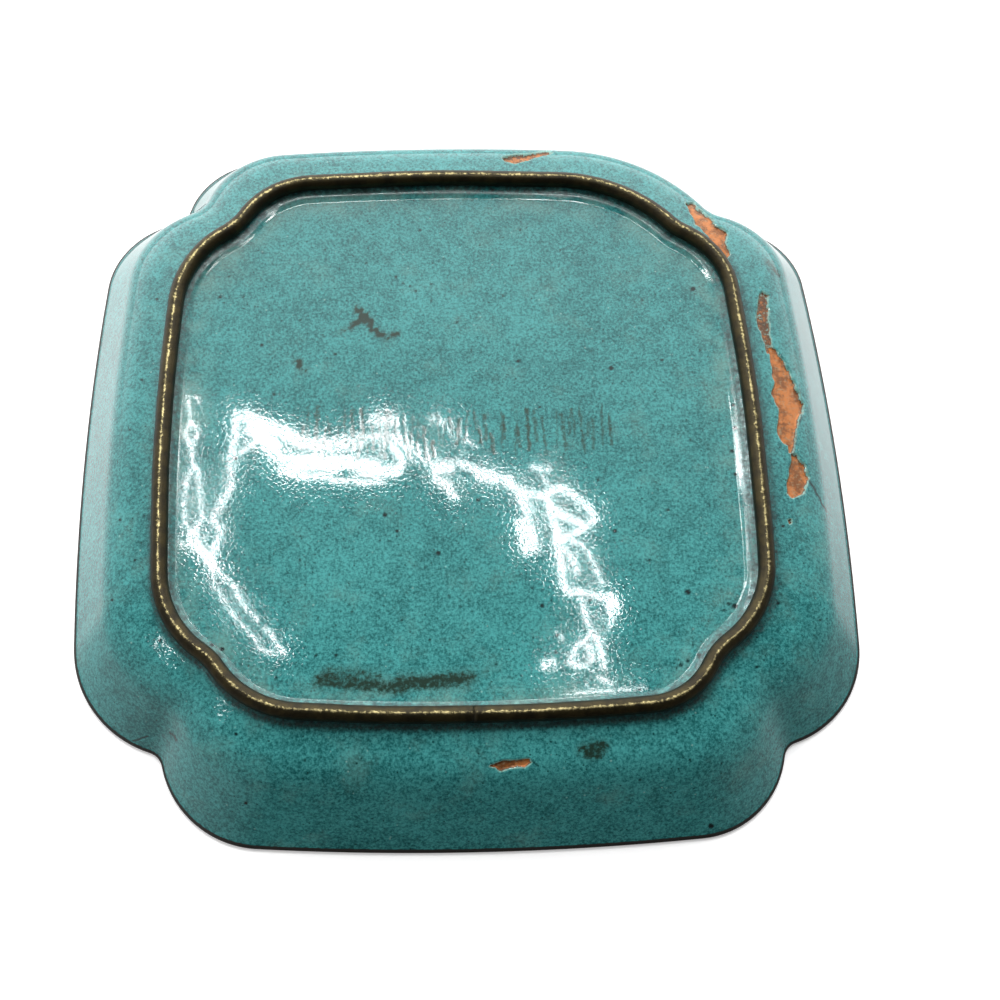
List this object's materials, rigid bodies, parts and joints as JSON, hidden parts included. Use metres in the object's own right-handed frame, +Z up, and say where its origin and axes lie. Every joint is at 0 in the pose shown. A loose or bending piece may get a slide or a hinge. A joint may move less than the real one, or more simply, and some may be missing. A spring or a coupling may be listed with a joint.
{
  "type": "cloisonne tray",
  "caption": "Small square tray with notched corners, enamelled on copper, lying face down with its wire foot ring on top.",
  "frame": {"origin": "the middle of the rim plane, which rests on the table because the tray lies face down as in the picture", "axes": "+Z up, from the rim towards the foot wire, along the tray's shortest extent; -Y is the picture's near side; turn the part by 180 degrees about X to use it face up on its foot"},
  "size_m": [0.12, 0.12, 0.0168],
  "materials": {
    "turquoise_enamel": "glossy fused enamel on copper",
    "brass_wire": "dark patina with rubbed highlights"
  },
  "bodies": {
    "root": {"tray_body": "turquoise_enamel", "foot_wire": "brass_wire"}
  },
  "joints": []
}
